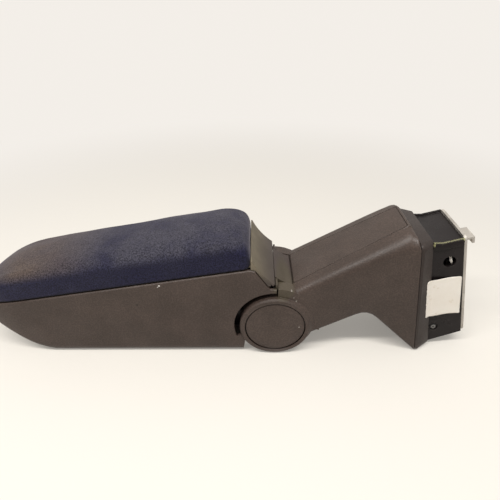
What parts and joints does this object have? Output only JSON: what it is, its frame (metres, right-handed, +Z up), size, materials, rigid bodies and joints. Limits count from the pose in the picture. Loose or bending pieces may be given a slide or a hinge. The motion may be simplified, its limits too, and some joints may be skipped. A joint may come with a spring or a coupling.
{
  "type": "car armrest",
  "caption": "Folding car armrest: long moulded storage tub under a padded cloth lid, hinged to a flared neck with a steel bracket and floor plate.",
  "frame": {"origin": "centre of the bounding box in plan, at the flat floor that the storage tub lies on", "axes": "+X from the arm's nose to the floor plate, +Y across to the far side, +Z up as the object lies in the picture"},
  "size_m": [0.5072, 0.0882, 0.1399],
  "materials": {
    "black_navy_cloth": "worn woven cloth",
    "grained_plastic": "fine leather grain",
    "olive_plastic": "fine leather grain",
    "inner_plastic": "plain moulded",
    "white_nylon": "plain moulded",
    "black_rubber": "matt",
    "bright_steel": "bright zinc",
    "black_enamelled_steel": "gloss black",
    "galvanised_steel": "galvanised",
    "label_paper": "coated paper"
  },
  "bodies": {
    "neck": {"neck_housing": "grained_plastic", "rear_panel": "grained_plastic", "collar_trim": "grained_plastic", "mount_frame": "black_enamelled_steel", "floor_plate": "galvanised_steel", "plate_rivet_1": "bright_steel", "plate_rivet_2": "bright_steel", "plate_rivet_3": "bright_steel", "plate_rivet_4": "bright_steel", "side_screw_near": "black_enamelled_steel", "side_screw_far": "black_enamelled_steel", "pivot_shaft": "bright_steel", "pivot_cap_near": "grained_plastic", "pivot_cap_far": "grained_plastic", "circlip_near": "bright_steel", "circlip_far": "bright_steel", "thrust_washer_near": "white_nylon", "thrust_washer_far": "white_nylon", "wave_washer_near": "bright_steel", "wave_washer_far": "bright_steel", "blank_label": "label_paper"},
    "arm": {"arm_tub": "grained_plastic", "bin_mat": "black_rubber", "arm_bracket": "black_enamelled_steel", "arm_bush_near": "white_nylon", "arm_bush_far": "white_nylon", "clutch_spring": "bright_steel", "drum_cover": "grained_plastic", "lid_hinge_pin": "bright_steel", "lid_buffer_near": "black_rubber", "lid_buffer_far": "black_rubber", "latch_spring": "bright_steel", "arm_bolt_1": "bright_steel", "arm_bolt_2": "bright_steel", "arm_bolt_3": "bright_steel", "arm_bolt_4": "bright_steel"},
    "lid": {"lid_tray": "olive_plastic", "pad_board": "inner_plastic", "lid_pad": "black_navy_cloth", "tray_screw_1": "bright_steel", "tray_screw_2": "bright_steel", "tray_screw_3": "bright_steel", "tray_screw_4": "bright_steel"},
    "latch": {"latch_button": "inner_plastic"}
  },
  "joints": [
    {"name": "arm_fold", "type": "hinge", "parent": "neck", "child": "arm", "pos_m": [0.053, 0, 0.036], "axis": [0, -1, 0], "range_deg": [0, 95]},
    {"name": "lid_hinge", "type": "hinge", "parent": "arm", "child": "lid", "pos_m": [0.0464, 0, 0.0867], "axis": [0, 1, 0], "range_deg": [0, 60]},
    {"name": "latch_press", "type": "slide", "parent": "arm", "child": "latch", "axis": [1, 0, 0], "range_m": [0, 0.003], "stiffness_N_per_m": 400, "springref_m": -0.003, "deforming": ["latch_spring"]}
  ]
}
